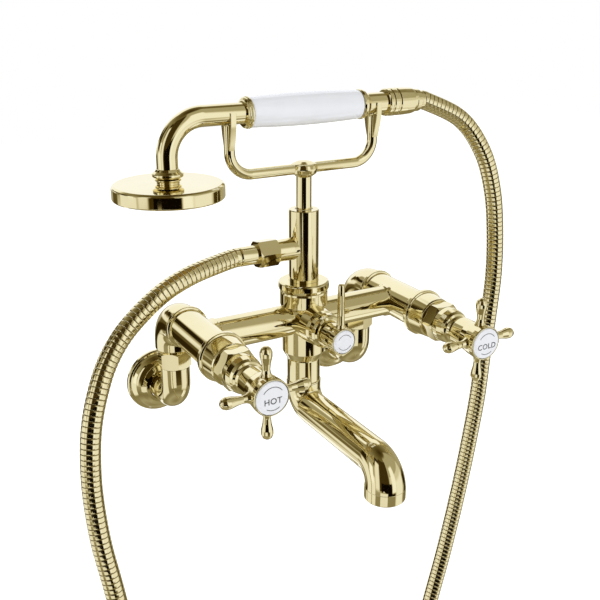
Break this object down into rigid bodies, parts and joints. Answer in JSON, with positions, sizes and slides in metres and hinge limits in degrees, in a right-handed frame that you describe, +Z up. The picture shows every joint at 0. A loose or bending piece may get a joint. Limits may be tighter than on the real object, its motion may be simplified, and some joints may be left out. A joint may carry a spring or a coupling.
{
  "type": "wall mounted bath shower mixer",
  "caption": "Wall mounted bath mixer in polished gold with cross handles, swivel spout, diverter lever and a telephone style handset on a cradle.",
  "frame": {"origin": "point on the wall midway between the two inlets, at the height of their centres", "axes": "+Y into the wall, along the inlets; +X to the right as seen from the room; +Z up"},
  "size_m": [0.3899, 0.2366, 0.6729],
  "materials": {
    "polished_gold": "polished gold plating, mirror bright",
    "gold_hose": "polished gold, spiral wound strip",
    "machined_brass": "machined, bare",
    "stainless_steel": "bright",
    "glazed_porcelain": "white glaze, gloss",
    "ceramic_disc": "ground flat",
    "seal_rubber": "matte black",
    "washer_fibre": "pressed red fibre",
    "white_nylon": "satin"
  },
  "bodies": {
    "mixer": {"cold_bonnet": "polished_gold", "cold_cartridge": "machined_brass", "cold_cartridge_seal": "seal_rubber", "cold_fixed_disc": "ceramic_disc", "cold_gland_nut": "polished_gold", "cold_inlet_elbow": "polished_gold", "cold_inlet_washer": "washer_fibre", "cold_union_nut": "polished_gold", "cold_wall_flange": "polished_gold", "column_collar": "polished_gold", "cradle_bush": "white_nylon", "diverter_bonnet": "polished_gold", "diverter_seal": "seal_rubber", "hose_check_valve": "white_nylon", "hose_outlet_ferrule": "polished_gold", "hose_outlet_nut": "polished_gold", "hose_outlet_washer": "seal_rubber", "hot_bonnet": "polished_gold", "hot_cartridge": "machined_brass", "hot_cartridge_seal": "seal_rubber", "hot_fixed_disc": "ceramic_disc", "hot_gland_nut": "polished_gold", "hot_inlet_elbow": "polished_gold", "hot_inlet_washer": "washer_fibre", "hot_union_nut": "polished_gold", "hot_wall_flange": "polished_gold", "mixer_body": "polished_gold", "riser_column": "polished_gold", "shower_hose": "gold_hose", "spout_collar": "polished_gold"},
    "hot_valve": {"hot_handle": "polished_gold", "hot_index": "glazed_porcelain", "hot_handle_screw": "stainless_steel", "hot_spindle": "machined_brass", "hot_moving_disc": "ceramic_disc"},
    "cold_valve": {"cold_handle": "polished_gold", "cold_index": "glazed_porcelain", "cold_handle_screw": "stainless_steel", "cold_spindle": "machined_brass", "cold_moving_disc": "ceramic_disc"},
    "diverter": {"diverter_lever": "polished_gold", "diverter_index": "glazed_porcelain", "diverter_screw": "stainless_steel", "diverter_spool": "machined_brass"},
    "swivel_spout": {"spout": "polished_gold", "aerator_housing": "machined_brass", "aerator_nozzle": "machined_brass", "spout_seal": "seal_rubber"},
    "cradle": {"cradle_bar": "polished_gold", "cradle_stem": "polished_gold"},
    "handset": {"shower_head": "polished_gold", "spray_plate": "machined_brass", "head_union": "polished_gold", "handset_pipe": "polished_gold", "front_collar": "polished_gold", "ceramic_sleeve": "glazed_porcelain", "rear_collar": "polished_gold", "handset_neck": "polished_gold", "handset_washer": "seal_rubber", "hose_cone_nut": "polished_gold"}
  },
  "joints": [
    {"name": "hot_turn", "type": "hinge", "parent": "mixer", "child": "hot_valve", "pos_m": [-0.09, -0.103, 0.0755], "axis": [0, -1, 0], "range_deg": [0, 90]},
    {"name": "cold_turn", "type": "hinge", "parent": "mixer", "child": "cold_valve", "pos_m": [0.09, -0.103, 0.0755], "axis": [0, 1, 0], "range_deg": [0, 90]},
    {"name": "diverter_turn", "type": "hinge", "parent": "mixer", "child": "diverter", "pos_m": [0, -0.103, 0.0755], "axis": [0, 1, 0], "range_deg": [0, 90]},
    {"name": "spout_swivel", "type": "hinge", "parent": "mixer", "child": "swivel_spout", "pos_m": [0, -0.103, 0.0755], "axis": [0, 0, 1], "range_deg": [-60, 60]},
    {"name": "cradle_swivel", "type": "hinge", "parent": "mixer", "child": "cradle", "pos_m": [0, -0.103, 0.0755], "axis": [0, 0, 1], "range_deg": [-30, 45], "deforming": ["shower_hose"]},
    {"name": "handset_lift", "type": "slide", "parent": "cradle", "child": "handset", "axis": [0, 0, 1], "range_m": [0, 0.06], "deforming": ["shower_hose"]}
  ]
}
